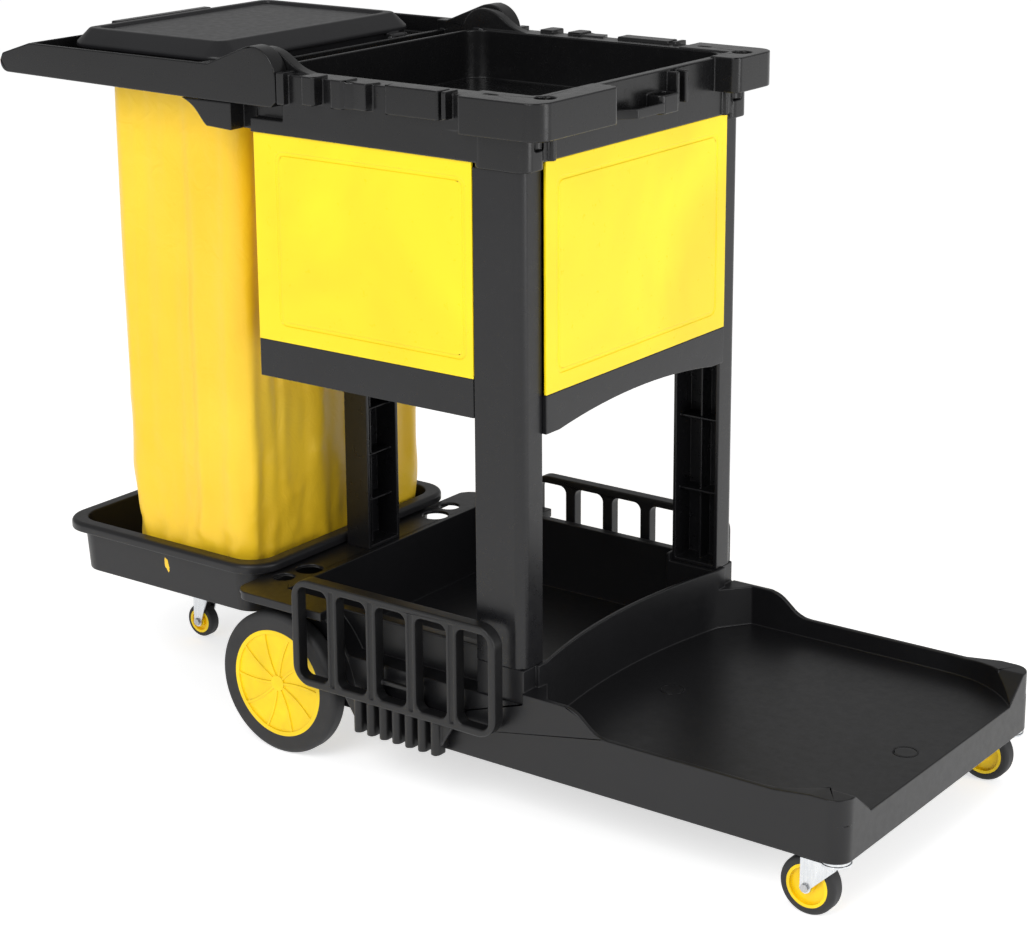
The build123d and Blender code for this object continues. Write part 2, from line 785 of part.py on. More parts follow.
        # Pivot bore.
        with BuildSketch(Plane.XZ.offset(-side * (tray_inner_y - 1))):
            with Locations((pivot_x, pivot_z)):
                Circle(pivot_diameter / 2 + 0.05)
        extrude(amount=-side * 30, mode=Mode.SUBTRACT)
    # Round bottle hole and short slot in each corner block.
    bottle_hole = 27.0
    with BuildSketch(Plane.XY.offset(tray_floor_z + 6)):
        with Locations(*[(block_front_x - 25, side * (half_width - 30)) for side in (-1, 1)]):
            Circle(bottle_hole / 2)
        with Locations(*[(axle_x + 358, side * (half_width - 14)) for side in (-1, 1)]):
            SlotOverall(20, 7)
    extrude(amount=80, mode=Mode.SUBTRACT)
    # Holder on the front wall: a pointed scoop with a lip, a box bracket and two uprights.
    scoop_reach = tray_front_x + 28
    with BuildSketch(Plane.XY.offset(tray_rim_z - 46)):
        with BuildLine():
            Polyline(
                (tray_front_x - 1, -74),
                (tray_front_x + 6, -74),
                (scoop_reach, -50),
                (scoop_reach, 9),
                (tray_front_x - 1, 9),
                close=True,
            )
        make_face()
    extrude(amount=4)
    with BuildSketch(Plane.XY.offset(tray_rim_z - 43)):
        with BuildLine():
            Polyline(
                (tray_front_x, -74),
                (tray_front_x + 6, -74),
                (scoop_reach, -50),
                (scoop_reach, 9),
                (scoop_reach - 3, 9),
                (scoop_reach - 3, -48),
                (tray_front_x, -69),
                close=True,
            )
        make_face()
    extrude(amount=9)
    with BuildSketch(Plane.XY.offset(tray_rim_z - 50)):
        with Locations((tray_front_x + 11, 29)):
            RectangleRounded(28, 42, 8)
            RectangleRounded(20, 34, 5, mode=Mode.SUBTRACT)
    extrude(amount=24)
    for y_upright in (60, 80):
        with BuildSketch(Plane.XY.offset(tray_rim_z - 44)):
            with Locations((tray_front_x + 6, y_upright)):
                SlotOverall(20, 7)
        extrude(amount=41)
    # The moulding's outer corners are rounded.
    fillet(
        top_tray.edges()
        .filter_by(Axis.Z)
        .filter_by_position(Axis.X, axle_x, block_rear_x + 1)
        .filter_by(lambda edge: abs(abs(edge.center().Y) - rail_outer_y) < 0.5),
        radius=5,
    )
    fillet(
        top_tray.edges()
        .filter_by(Axis.Z)
        .filter_by(lambda edge: abs(abs(edge.center().Y) - rail_outer_y + 5) < 0.5),
        radius=4,
    )
    fillet(
        top_tray.edges()
        .filter_by(Axis.Z)
        .filter_by_position(Axis.X, block_front_x - 1, block_front_x + 1)
        .filter_by(lambda edge: min(abs(abs(edge.center().Y) - reach) for reach in block_reach.values()) < 0.5),
        radius=12,
    )
keep(top_tray, "top_tray")

# ---- bag frame with its two arms and push bar ----------------------------
tangent = radians(112)
tangent_x = pivot_x + hump_radius * cos(tangent)
tangent_z = pivot_z + hump_radius * sin(tangent)
slope_run = (tangent_z - arm_top_z) / sin(tangent - radians(90)) * cos(tangent - radians(90))
bar_front_x = frame_rear_x + 58.0
collar_front_x = lid_axis_x + 16.0
arm_wall = 6.0
arm_end_x = pivot_x + hump_radius

with BuildPart() as bag_frame:
    for side in (-1, 1):
        # Whole arm profile as the outer wall, then the thick hump at its front end.
        for inner_y, rear_limit in (
            (arm_outer_y - arm_wall, frame_rear_x - 5),
            (arm_inner_y, collar_front_x - 14),
        ):
            with BuildSketch(Plane.XZ.offset(-side * inner_y)):
                with BuildLine():
                    Line((arm_end_x, pivot_z), (arm_end_x, arm_bottom_z + 8))
                    Line((arm_end_x, arm_bottom_z + 8), (arm_end_x - 8, arm_bottom_z))
                    Line((arm_end_x - 8, arm_bottom_z), (pivot_x - 110, arm_bottom_z))
                    Line((pivot_x - 110, arm_bottom_z), (frame_rear_x + 13, arm_bottom_z + 4))
                    ThreePointArc(
                        (frame_rear_x + 13, arm_bottom_z + 4),
                        (frame_rear_x + 2.5, arm_bottom_z + 10),
                        (frame_rear_x, arm_bottom_z + 20),
                    )
                    Line((frame_rear_x, arm_bottom_z + 20), (frame_rear_x + 5, arm_bottom_z + 30))
                    Line((frame_rear_x + 5, arm_bottom_z + 30), (frame_rear_x + 58, arm_top_z))
                    Line((frame_rear_x + 58, arm_top_z), (tangent_x - slope_run, arm_top_z))
                    Line((tangent_x - slope_run, arm_top_z), (tangent_x, tangent_z))
                    ThreePointArc(
                        (tangent_x, tangent_z),
                        (
                            pivot_x + hump_radius * cos(tangent / 2),
                            pivot_z + hump_radius * sin(tangent / 2),
                        ),
                        (arm_end_x, pivot_z),
                    )
                make_face()
                with Locations((mid(rear_limit, arm_end_x + 5), pivot_z)):
                    Rectangle(arm_end_x + 5 - rear_limit, 200, mode=Mode.INTERSECT)
            extrude(amount=-side * (arm_outer_y - inner_y))
    # Hollow push bar across the rear, open underneath, with a raised grip.
    with BuildSketch(Plane.XZ):
        with BuildLine():
            Polyline(
                (frame_rear_x + 13, arm_bottom_z + 4),
                (bar_front_x, arm_bottom_z + 4),
                (bar_front_x, arm_top_z),
                (frame_rear_x + 5, arm_bottom_z + 30),
                (frame_rear_x, arm_bottom_z + 20),
                close=True,
            )
        make_face()
    extrude(amount=arm_outer_y - 1, both=True)
    slab(
        (frame_rear_x + 18, bar_front_x - wall),
        (-arm_outer_y + arm_wall, arm_outer_y - arm_wall),
        (arm_bottom_z - 1, arm_top_z - 14),
        mode=Mode.SUBTRACT,
    )
    grip_half_width = 95.0
    slab(
        (bar_front_x - 10, bar_front_x + 4),
        (-grip_half_width, grip_half_width),
        (arm_top_z - 4, arm_top_z + 11),
    )
    # Collar plate that the bag hangs from and the lid closes onto.
    slab(
        (bar_front_x - 2, collar_front_x),
        (-arm_outer_y + 1, arm_outer_y - 1),
        (collar_z, collar_z + collar_thickness),
    )
    slab(
        (collar_front_x - 8, collar_front_x),
        (-arm_outer_y + 1, arm_outer_y - 1),
        (collar_z, collar_z + 17),
    )
    with BuildSketch(Plane.XY.offset(collar_z - 1)):
        with Locations((mid(bag_rear_x + 8, bag_front_x - 15), 0)):
            RectangleRounded(bag_front_x - bag_rear_x - 23, 2 * bag_half_width - 20, bag_corner - 8)
    extrude(amount=collar_thickness + 2, mode=Mode.SUBTRACT)
    # Ears for the lid's hinge pins.
    ear_y = 150.0
    ear_gap = 12.5
    for side in (-1, 1):
        for edge in (-1, 1):
            y_ear = side * ear_y + edge * (ear_gap + 2.5)
            slab(
                (lid_axis_x - 5, collar_front_x - 4),
                (y_ear - 2.5, y_ear + 2.5),
                (collar_z + collar_thickness - 1, lid_axis_z + 1),
            )
            with BuildSketch(Plane.XZ.offset(-(y_ear - 2.5))):
                with Locations((lid_axis_x, lid_axis_z)):
                    Circle(5)
            extrude(amount=-5)
    with BuildSketch(Plane.XZ):
        with Locations((lid_axis_x, lid_axis_z)):
            Circle(lid_pin_diameter / 2 + 0.03)
    extrude(amount=ear_y + ear_gap + 6, both=True, mode=Mode.SUBTRACT)
    for side in (-1, 1):
        # Clearance for the lid's lug, then the blind pivot bore.
        slab(
            (lid_axis_x - 6, lid_axis_x + 6.5),
            (side * ear_y - ear_gap, side * ear_y + ear_gap),
            (lid_axis_z - 5.6, lid_axis_z + 8),
            mode=Mode.SUBTRACT,
        )
        with BuildSketch(Plane.XZ.offset(-side * (arm_inner_y - 1))):
            with Locations((pivot_x, pivot_z)):
                Circle(pivot_diameter / 2 + shaft_gap)
        extrude(amount=-side * 18, mode=Mode.SUBTRACT)
keep(bag_frame, "bag_frame")

with BuildPart() as pivot_pins:
    for side in (-1, 1):
        with BuildSketch(Plane.XZ.offset(-side * (tray_inner_y + 1))):
            with Locations((pivot_x, pivot_z)):
                Circle(pivot_diameter / 2)
        extrude(amount=-side * (arm_inner_y + 16 - tray_inner_y - 1))
keep(pivot_pins, "pivot_pins")

# ---- bag lid -------------------------------------------------------------
lid_mid_x = lid_front_x - lid_length / 2
lid_chamfer = 19.0
lid_edge = 6.0
lid_corner = 34.0
lid_rise = lid_top_z - lid_base_z - lid_edge
lid_slope = degrees(atan2(lid_chamfer, lid_rise))
with BuildPart() as bag_lid:
    with BuildSketch(Plane.XY.offset(lid_base_z)):
        with Locations((lid_mid_x, 0)):
            RectangleRounded(lid_length, 2 * lid_half_width, lid_corner)
    extrude(amount=lid_edge)
    with BuildSketch(Plane.XY.offset(lid_base_z + lid_edge)):
        with Locations((lid_mid_x, 0)):
            RectangleRounded(lid_length, 2 * lid_half_width, lid_corner)
    extrude(amount=lid_rise, taper=lid_slope)
    with BuildSketch(Plane.XY.offset(lid_top_z - 4)):
        with Locations((lid_mid_x, 0)):
            RectangleRounded(lid_length - 2 * lid_chamfer - 22, 2 * (lid_half_width - lid_chamfer - 11), 12)
    extrude(amount=5, mode=Mode.SUBTRACT)
    # Hollow underneath.
    with BuildSketch(Plane.XY.offset(lid_base_z - 1)):
        with Locations((lid_mid_x, 0)):
            RectangleRounded(lid_length - 2 * lid_chamfer, 2 * (lid_half_width - lid_chamfer), 15)
    extrude(amount=lid_rise - 6, mode=Mode.SUBTRACT)
    # Inset skirt that closes onto the collar.
    with BuildSketch(Plane.XY.offset(collar_z + collar_thickness + seat_gap)):
        with Locations((lid_mid_x, 0)):
            RectangleRounded(lid_length - 12, 2 * (lid_half_width - 6), 22)
            RectangleRounded(lid_length - 20, 2 * (lid_half_width - 10), 18, mode=Mode.SUBTRACT)
    extrude(amount=lid_base_z - (collar_z + collar_thickness + seat_gap) + 3)
    # Hinge lugs at the front edge.
    for side in (-1, 1):
        lug_width = ear_gap - running_gap
        slab(
            (lid_front_x - 8, lid_axis_x),
            (side * ear_y - lug_width, side * ear_y + lug_width),
            (lid_axis_z - 4, lid_axis_z + 5),
        )
        with BuildSketch(Plane.XZ.offset(-(side * ear_y - lug_width))):
            with Locations((lid_axis_x, lid_axis_z)):
                Circle(5)
        extrude(amount=-2 * lug_width)
    with BuildSketch(Plane.XZ):
        with Locations((lid_axis_x, lid_axis_z)):
            Circle(lid_pin_diameter / 2 + shaft_gap)
    extrude(amount=ear_y + ear_gap + 6, both=True, mode=Mode.SUBTRACT)
keep(bag_lid, "bag_lid")

with BuildPart() as lid_hinge_pins:
    for side in (-1, 1):
        with BuildSketch(Plane.XZ.offset(-(side * ear_y - ear_gap - 5))):
            with Locations((lid_axis_x, lid_axis_z)):
                Circle(lid_pin_diameter / 2)
        extrude(amount=-2 * (ear_gap + 5))
keep(lid_hinge_pins, "lid_hinge_pins")

# ---- bag and bag tray ----------------------------------------------------
bag_tray_wall = 4.0
bag_bottom_z = bag_tray_bottom_z + bag_tray_wall + seat_gap
bag_mid_x = mid(bag_rear_x, bag_front_x)
bag_rim_z = collar_z - seat_gap
with BuildPart() as waste_bag:
    for inset, low_z, high_z, how in (
        (0.0, bag_bottom_z, bag_rim_z, Mode.ADD),
        (bag_wall, bag_bottom_z + bag_wall, bag_rim_z + 1, Mode.SUBTRACT),
    ):
        with BuildSketch(Plane.XY.offset(low_z)):
            with Locations((bag_mid_x, 0)):
                RectangleRounded(
                    bag_front_x - bag_rear_x - 2 * inset,
                    2 * (bag_half_width - inset),
                    bag_corner - inset,
                )
        extrude(amount=high_z - low_z, mode=how)
keep(waste_bag, "waste_bag")

bag_tray_mid_x = mid(tray_rear_x, bag_tray_front_x)
bag_tray_length = bag_tray_front_x - tray_rear_x
with BuildPart() as bag_tray:
    with BuildSketch(Plane.XY.offset(bag_tray_rim_z - 14)):
        with Locations((bag_tray_mid_x, 0)):
            RectangleRounded(bag_tray_length, 2 * bag_tray_half_width, 48)
    extrude(amount=14)
    fillet(bag_tray.edges().filter_by(Plane.XY).group_by(Axis.Z)[-1], radius=6)
    with BuildSketch(Plane.XY.offset(bag_tray_bottom_z)):
        with Locations((bag_tray_mid_x, 0)):
            RectangleRounded(
                bag_tray_length - 2 * bag_tray_lip - 10,
                2 * (bag_tray_half_width - bag_tray_lip - 5),
                34,
            )
    with BuildSketch(Plane.XY.offset(bag_tray_rim_z - 13)):
        with Locations((bag_tray_mid_x, 0)):
            RectangleRounded(
                bag_tray_length - 2 * bag_tray_lip,
                2 * (bag_tray_half_width - bag_tray_lip),
                40,
            )
    loft()
    with BuildSketch(Plane.XY.offset(bag_tray_bottom_z + bag_tray_wall)):
        with Locations((bag_tray_mid_x, 0)):
            RectangleRounded(
                bag_tray_length - 2 * bag_tray_lip - 2 * bag_tray_wall - 10,
                2 * (bag_tray_half_width - bag_tray_lip - bag_tray_wall - 5),
                30,
            )
    with BuildSketch(Plane.XY.offset(bag_tray_rim_z + 0.5)):
        with Locations((bag_tray_mid_x, 0)):
            RectangleRounded(
                bag_tray_length - 2 * bag_tray_lip - 2 * bag_tray_wall,
                2 * (bag_tray_half_width - bag_tray_lip - bag_tray_wall),
                36,
            )
    loft(mode=Mode.SUBTRACT)
keep(bag_tray, "bag_tray")

# ---- side racks ----------------------------------------------------------
rack_bar = 16.0
rack_openings = 5
fin_count = 7
fin_width = 14.0


def make_rack(side):
    """A barred hanging rack with a finned foot that fixes to the skirt."""
    y_in = side * (rack_outer_y - rack_depth)
    rack_mid_x = rack_rear_x + rack_length / 2
    rack_mid_z = mid(rack_bottom_z, rack_top_z)
    inside = rack_length - 2 * rack_rail
    pitch = (inside + rack_bar) / rack_openings
    with BuildPart() as rack:
        with BuildSketch(Plane.XZ.offset(-y_in)):
            with Locations((rack_mid_x, rack_mid_z)):
                RectangleRounded(rack_length, rack_top_z - rack_bottom_z, 28)
            for index in range(rack_openings):
                x_slot = rack_rear_x + rack_rail + index * pitch + (pitch - rack_bar) / 2
                with Locations((x_slot, rack_mid_z)):
                    RectangleRounded(
                        pitch - rack_bar,
                        rack_top_z - rack_bottom_z - 2 * rack_rail,
                        11,
                        mode=Mode.SUBTRACT,
                    )
        extrude(amount=-side * rack_depth)
        fillet(rack.edges().group_by(Axis.Y)[-1 if side > 0 else 0], radius=2.5)
        # A flute down the face of each inner bar.
        for index in range(1, rack_openings):
            x_bar = rack_rear_x + rack_rail + index * pitch - rack_bar / 2
            slab(
                (x_bar - 3.5, x_bar + 3.5),
                (y_in + side * (rack_depth - 2.5), y_in + side * (rack_depth + 1)),
                (rack_bottom_z + 8, rack_top_z - 8),
                mode=Mode.SUBTRACT,
            )
        # Cross bar low in the middle opening.
        slab(
            (rack_mid_x - pitch / 2, rack_mid_x + pitch / 2),
            (y_in, y_in + side * 6),
            (rack_bottom_z + 28, rack_bottom_z + 33),
        )
        # Foot: a back plate on the skirt, with upright fins and end webs.
        slab(
            (comb_rear_x, comb_rear_x + comb_length),
            (side * half_width, y_in + side),
            (comb_bottom_z + 8, rack_bottom_z + 6),
        )
        fin_pitch = (comb_length - fin_width) / (fin_count - 1)
        with BuildSketch(Plane.XY.offset(comb_bottom_z)):
            for index in range(fin_count):
                with Locations((comb_rear_x + fin_width / 2 + index * fin_pitch, y_in + side * 4)):
                    SlotOverall(22, fin_width, rotation=90)
        extrude(amount=rack_bottom_z + 4 - comb_bottom_z)
        for end_x, lean in ((comb_rear_x + 2, -1), (comb_rear_x + comb_length - 2, 1)):
            with BuildSketch(Plane.XZ.offset(-(y_in + side * 2))):
                with BuildLine():
                    Polyline(
                        (end_x, comb_bottom_z + 10),
                        (end_x + lean * 26, rack_bottom_z + 4),
                        (end_x, rack_bottom_z + 4),
                        close=True,
                    )
                make_face()
            extrude(amount=-side * 5)
    return rack


for side, hand in ((-1, "right"), (1, "left")):
    keep(make_rack(side), f"side_rack_{hand}")

# ---- fixed wheels and their axle ----------------------------------------
cap_thickness = 4.0
hub_boss = 20.0
rib_count = 10
rib_half = 1.6
rib_bow = 3.5
axle_end_y = wheel_outer_y - 7.0
with BuildPart() as wheel_axle:
    with BuildSketch(Plane.XZ):
        with Locations((axle_x, axle_z)):
            Circle(axle_diameter / 2)
    extrude(amount=axle_end_y, both=True)
keep(wheel_axle, "wheel_axle")

with BuildPart() as axle_clips:
    for side in (-1, 1):
        with BuildSketch(Plane.XZ.offset(-side * (axle_end_y - 3))):
            with Locations((axle_x, axle_z)):
                Circle(11)
                Circle(axle_diameter / 2 + 0.02, mode=Mode.SUBTRACT)
        extrude(amount=-side * 2)
keep(axle_clips, "axle_clips")


def make_tyre(side):
    """A solid tyre with rounded shoulders."""
    with BuildPart() as tyre:
        with BuildSketch(Plane.XZ.offset(-side * wheel_inner_y)):
            with Locations((axle_x, axle_z)):
                Circle(wheel_diameter / 2)
        extrude(amount=-side * wheel_width)
        fillet(tyre.edges().filter_by(GeomType.CIRCLE), radius=8)
        with BuildSketch(Plane.XZ.offset(-side * (wheel_inner_y - 1))):
            with Locations((axle_x, axle_z)):
                Circle(rim_diameter / 2)
        extrude(amount=-side * (wheel_width + 2), mode=Mode.SUBTRACT)
    return tyre


def make_hub(side):
    """A moulded wheel centre: rim, web and boss with a bore for the axle."""
    y_in = wheel_inner_y + 1
    with BuildPart() as hub:
        with BuildSketch(Plane.XZ.offset(-side * y_in)):
            with Locations((axle_x, axle_z)):
                Circle(rim_diameter / 2 - 0.1)
        extrude(amount=-side * (wheel_outer_y - cap_thickness - y_in))
        for start, end in ((y_in - 1, y_in + 9), (y_in + 15, wheel_outer_y)):
            with BuildSketch(Plane.XZ.offset(-side * start)):
                with Locations((axle_x, axle_z)):
                    Circle(rim_diameter / 2 - 7)
                    Circle(hub_boss, mode=Mode.SUBTRACT)
            extrude(amount=-side * (end - start), mode=Mode.SUBTRACT)
        # The boss stops short of the clip.
        with BuildSketch(Plane.XZ.offset(-side * (axle_end_y - 3.5))):
            with Locations((axle_x, axle_z)):
                Circle(hub_boss + 1)
        extrude(amount=-side * 20, mode=Mode.SUBTRACT)
        with BuildSketch(Plane.XZ.offset(-side * (y_in - 1))):
            with Locations((axle_x, axle_z)):
                Circle(axle_diameter / 2 + shaft_gap)
        extrude(amount=-side * wheel_width, mode=Mode.SUBTRACT)
    return hub


def make_cap(side):
    """A snap-on wheel cover with curved raised ribs."""
    y_in = wheel_outer_y - cap_thickness
    with BuildPart() as cap:
        with BuildSketch(Plane.XZ.offset(-side * y_in)):
            with Locations((axle_x, axle_z)):
                Circle(rim_diameter / 2 - 0.1)
        extrude(amount=-side * (cap_thickness - 2.2))
        with BuildSketch(Plane.XZ.offset(-side * (y_in + 1))):
            with Locations((axle_x, axle_z)):
                Circle(rim_diameter / 2 - 0.1)
                Circle(rim_diameter / 2 - 6, mode=Mode.SUBTRACT)
                Circle(11)
        extrude(amount=-side * (cap_thickness - 1))
        # Each rib bows a little to one side between the boss and the rim.
        rib_end = rim_diameter / 2 - 4
        for rib in range(rib_count):
            turn = 360 / rib_count * rib
            points = [
                Vector(along, across).rotate(Axis.Z, turn) + Vector(axle_x, axle_z)
                for along, across in (
                    (6, -rib_half),
                    (rib_end / 2, rib_bow - rib_half),
                    (rib_end, -rib_half),
                    (rib_end, rib_half),
                    (rib_end / 2, rib_bow + rib_half),
                    (6, rib_half),
                )
            ]
            with BuildSketch(Plane.XZ.offset(-side * (y_in + 1))):
                with BuildLine():
                    ThreePointArc(points[0], points[1], points[2])
                    Line(points[2], points[3])
                    ThreePointArc(points[3], points[4], points[5])
                    Line(points[5], points[0])
                make_face()
            extrude(amount=-side * (cap_thickness - 1.6))
    return cap


for side, hand in ((-1, "right"), (1, "left")):
    keep(make_tyre(side), f"wheel_tyre_{hand}")
    keep(make_hub(side), f"wheel_hub_{hand}")
    keep(make_cap(side), f"wheel_cap_{hand}")


# ---- swivel castors ------------------------------------------------------
def make_castor(name, x, y, mount_z, diameter, width, trail, lift):
    """Stem, fork, bolt, wheel and tyre of one swivel castor, trailing to the rear."""
    hub_z = lift + diameter / 2
    hub_x = x - trail
    crown_z = mount_z - 6.5
    sheet = 2.5
    leg_in = width / 2 + 2.0
    leg_out = leg_in + sheet
    tyre_bore = diameter * 0.37

    with BuildPart() as stem:
        for low, high, radius in (
            (crown_z - 3.4, crown_z - 0.4, 7.0),
            (crown_z - 1, mount_z - 1, castor_pin / 2),
            (mount_z - 3.5, mount_z, 18.0),
            (mount_z - 1, mount_z + 30, 4.97),
        ):
            with BuildSketch(Plane.XY.offset(low)):
                with Locations((x, y)):
                    Circle(radius)
            extrude(amount=high - low)
    keep(stem, f"{name}_stem")

    with BuildPart() as fork:
        with BuildSketch(Plane.XY.offset(crown_z)):
            with Locations((x, y)):
                Circle(19)
            with Locations((mid(x, hub_x - 7), y)):
                Rectangle(x - hub_x + 7, 2 * leg_out)
        extrude(amount=sheet)
        slab((hub_x - 20, x - 12), (y - leg_in, y + leg_in), (crown_z - 5, mount_z + 5), mode=Mode.SUBTRACT)
        for edge in (-1, 1):
            with BuildSketch(Plane.XZ.offset(-(y + edge * leg_in))):
                with BuildLine():
                    Polyline(
                        (hub_x - 7, crown_z + sheet),
                        (x + 8, crown_z + sheet),
                        (x + 8, crown_z - 3),
                        (hub_x + 7, hub_z),
                        (hub_x - 7, hub_z),
                        close=True,
                    )
                make_face()
                with Locations((hub_x, hub_z)):
                    Circle(7.5)
            extrude(amount=-edge * sheet)
        with BuildSketch(Plane.XZ.offset(-(y - leg_out - 1))):
            with Locations((hub_x, hub_z)):
                Circle(castor_bolt / 2 + 0.03)
        extrude(amount=-2 * (leg_out + 1), mode=Mode.SUBTRACT)
        with BuildSketch(Plane.XY.offset(crown_z - 1)):
            with Locations((x, y)):
                Circle(castor_pin / 2 + shaft_gap)
        extrude(amount=sheet + 2, mode=Mode.SUBTRACT)
    keep(fork, f"{name}_fork")

    with BuildPart() as bolt:
        with BuildSketch(Plane.XZ.offset(-(y - leg_out - 3))):
            with Locations((hub_x, hub_z)):
                Circle(castor_bolt / 2)
        extrude(amount=-2 * (leg_out + 3))
        for edge in (-1, 1):
            with BuildSketch(Plane.XZ.offset(-(y + edge * leg_out))):
                with Locations((hub_x, hub_z)):
                    RegularPolygon(5.5, 6)
            extrude(amount=-edge * 3)
    keep(bolt, f"{name}_bolt")

    with BuildPart() as wheel:
        with BuildSketch(Plane.XZ.offset(-(y - width / 2))):
            with Locations((hub_x, hub_z)):
                Circle(tyre_bore - 0.1)
        extrude(amount=-width)
        for edge in (-1, 1):
            with BuildSketch(Plane.XZ.offset(-(y + edge * (width / 2 - 5)))):
                with Locations((hub_x, hub_z)):
                    Circle(tyre_bore - 4)
                    Circle(9, mode=Mode.SUBTRACT)
            extrude(amount=-edge * 6, mode=Mode.SUBTRACT)
        with BuildSketch(Plane.XZ.offset(-(y - width / 2 - 1))):
            with Locations((hub_x, hub_z)):
                Circle(9)
                Circle(castor_bolt / 2 + shaft_gap, mode=Mode.SUBTRACT)
        extrude(amount=-(width + 2))
        with BuildSketch(Plane.XZ.offset(-(y - width / 2 - 2))):
            with Locations((hub_x, hub_z)):
                Circle(castor_bolt / 2 + shaft_gap)
        extrude(amount=-(width + 4), mode=Mode.SUBTRACT)
    keep(wheel, f"{name}_wheel")

    with BuildPart() as tyre:
        with BuildSketch(Plane.XZ.offset(-(y - width / 2))):
            with Locations((hub_x, hub_z)):
                Circle(diameter / 2)
        extrude(amount=-width)
        fillet(tyre.edges().filter_by(GeomType.CIRCLE), radius=width / 4)
        with BuildSketch(Plane.XZ.offset(-(y - width / 2 - 1))):
            with Locations((hub_x, hub_z)):
                Circle(tyre_bore)
        extrude(amount=-(width + 2), mode=Mode.SUBTRACT)
    keep(tyre, f"{name}_tyre")


for side, hand in ((-1, "right"), (1, "left")):
    make_castor(
        f"castor_front_{hand}",
        front_castor_x,
        side * front_castor_y,
        skirt_bottom_z,
        front_castor_wheel,
        front_castor_width,
        front_castor_trail,
        0.0,
    )
make_castor(
    "castor_rear",
    rear_castor_x,
    0.0,
    beam_bottom_z,
    rear_castor_wheel,
    rear_castor_width,
    rear_castor_trail,
    rear_castor_lift,
)
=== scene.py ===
from math import cos, pi, radians, sin

import bmesh
import bpy
from mathutils import Matrix, Vector, noise
from mathutils.bvhtree import BVHTree


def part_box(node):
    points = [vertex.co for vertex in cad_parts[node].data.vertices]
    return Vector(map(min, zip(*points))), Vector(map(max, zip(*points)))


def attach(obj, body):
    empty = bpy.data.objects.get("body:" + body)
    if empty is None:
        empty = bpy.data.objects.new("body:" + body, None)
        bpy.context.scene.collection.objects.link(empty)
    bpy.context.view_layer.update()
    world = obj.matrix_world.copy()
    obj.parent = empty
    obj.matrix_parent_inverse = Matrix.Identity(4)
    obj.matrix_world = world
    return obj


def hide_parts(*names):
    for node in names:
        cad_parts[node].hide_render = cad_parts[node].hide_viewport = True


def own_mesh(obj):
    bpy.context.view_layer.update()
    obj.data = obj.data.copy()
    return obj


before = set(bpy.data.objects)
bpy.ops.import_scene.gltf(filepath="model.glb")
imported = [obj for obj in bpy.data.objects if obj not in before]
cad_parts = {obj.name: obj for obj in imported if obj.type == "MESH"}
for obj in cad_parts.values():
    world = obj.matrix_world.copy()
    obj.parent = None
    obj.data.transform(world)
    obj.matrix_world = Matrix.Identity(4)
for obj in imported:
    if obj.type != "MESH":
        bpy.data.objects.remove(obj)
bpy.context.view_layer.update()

# ---- moulded base --------------------------------------------------------
# The long black base: platform, bin, deck and wheel arches in one moulding.
# Structural-foam polypropylene, injection moulded in a fine spark-eroded tool
# that leaves an even, semi-matte grain. The rims are painted lighter, as a painted
# highlight and as the rubbing of hands and buckets.


def linear(code):
    """An sRGB hex colour as the linear values that a shader takes."""
    channels = []
    for place in (1, 3, 5):
        share = int(code[place : place + 2], 16) / 255
        channels.append(share / 12.92 if share <= 0.04045 else ((share + 0.055) / 1.055) ** 2.4)
    return (*channels, 1.0)


def add(tree, kind, settings=None, links=None):
    """One node with its settings and the sockets that feed it."""
    node = tree.nodes.new(kind)
    for name, value in (settings or {}).items():
        if isinstance(name, str) and hasattr(node, name):
            setattr(node, name, value)
        else:
            node.inputs[name].default_value = value
    for name, socket in (links or {}).items():
        tree.links.new(socket, node.inputs[name])
    return node


